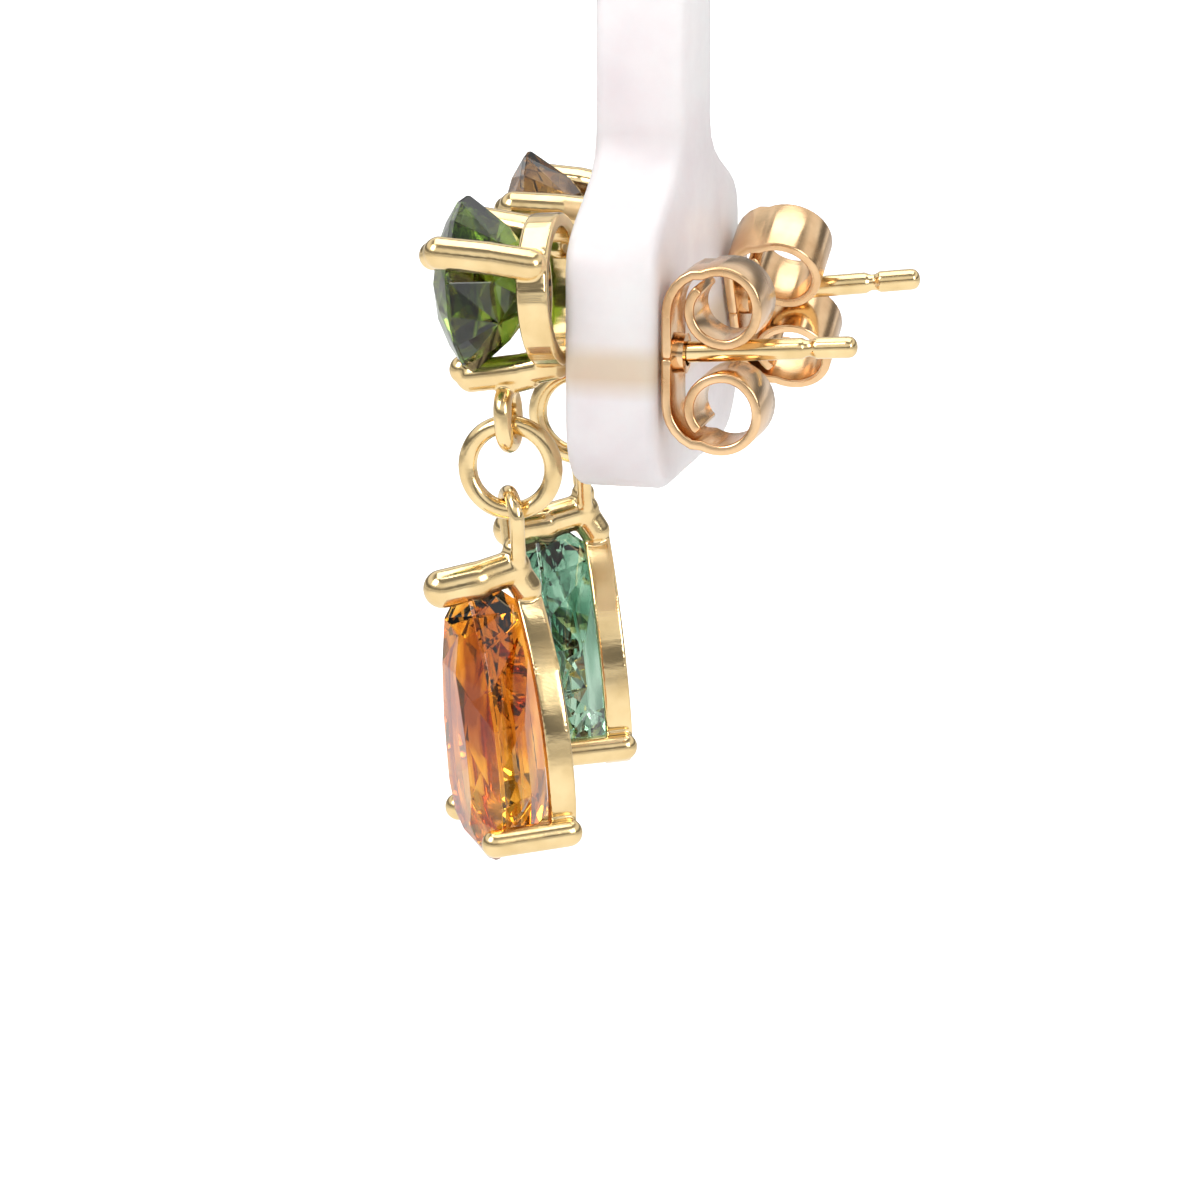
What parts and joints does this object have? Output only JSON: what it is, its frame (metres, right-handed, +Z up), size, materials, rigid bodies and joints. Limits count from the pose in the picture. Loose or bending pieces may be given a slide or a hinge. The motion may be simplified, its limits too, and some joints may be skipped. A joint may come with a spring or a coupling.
{
  "type": "pair of drop earrings on a display bar",
  "caption": "Two stud-and-drop earrings with faceted round and pear stones in gold claw settings, butterfly backs, pinned through a plain acrylic display bar.",
  "frame": {"origin": "middle of the display bar's flat top end, where the bar is held up", "axes": "+Z up; the fronts of the earrings face -Y; the posts point towards +Y; +X is the side of the earring with the green stud stone"},
  "size_m": [0.0169, 0.0158, 0.0367],
  "materials": {
    "gold": "polished yellow gold",
    "rose_gold": "polished, slightly redder gold",
    "green_stone": "faceted, olive green",
    "orange_stone": "faceted, orange",
    "brown_stone": "faceted, amber brown",
    "teal_stone": "faceted, blue-green",
    "acrylic": "frosted, milky, slightly pink"
  },
  "bodies": {
    "bar_and_studs": {"right_stud_setting": "gold", "right_stud_stone": "green_stone", "right_butterfly_back": "rose_gold", "left_stud_setting": "gold", "left_stud_stone": "brown_stone", "left_butterfly_back": "rose_gold", "display_bar": "acrylic"},
    "right_link": {"right_jump_ring": "gold"},
    "right_drop": {"right_drop_setting": "gold", "right_drop_stone": "orange_stone"},
    "left_link": {"left_jump_ring": "gold"},
    "left_drop": {"left_drop_setting": "gold", "left_drop_stone": "teal_stone"}
  },
  "joints": [
    {"name": "right_link_swing", "type": "hinge", "parent": "bar_and_studs", "child": "right_link", "pos_m": [0.005, -0.00405, -0.02136], "axis": [1, 0, 0], "range_deg": [-60, 8]},
    {"name": "right_drop_swing", "type": "hinge", "parent": "right_link", "child": "right_drop", "pos_m": [0.005, -0.00405, -0.02383], "axis": [0, 1, 0], "range_deg": [-45, 7]},
    {"name": "left_link_swing", "type": "hinge", "parent": "bar_and_studs", "child": "left_link", "pos_m": [-0.00474, -0.00395, -0.02141], "axis": [1, 0, 0], "range_deg": [-60, 8]},
    {"name": "left_drop_swing", "type": "hinge", "parent": "left_link", "child": "left_drop", "pos_m": [-0.00474, -0.00395, -0.02388], "axis": [0, 1, 0], "range_deg": [-7, 45]}
  ]
}
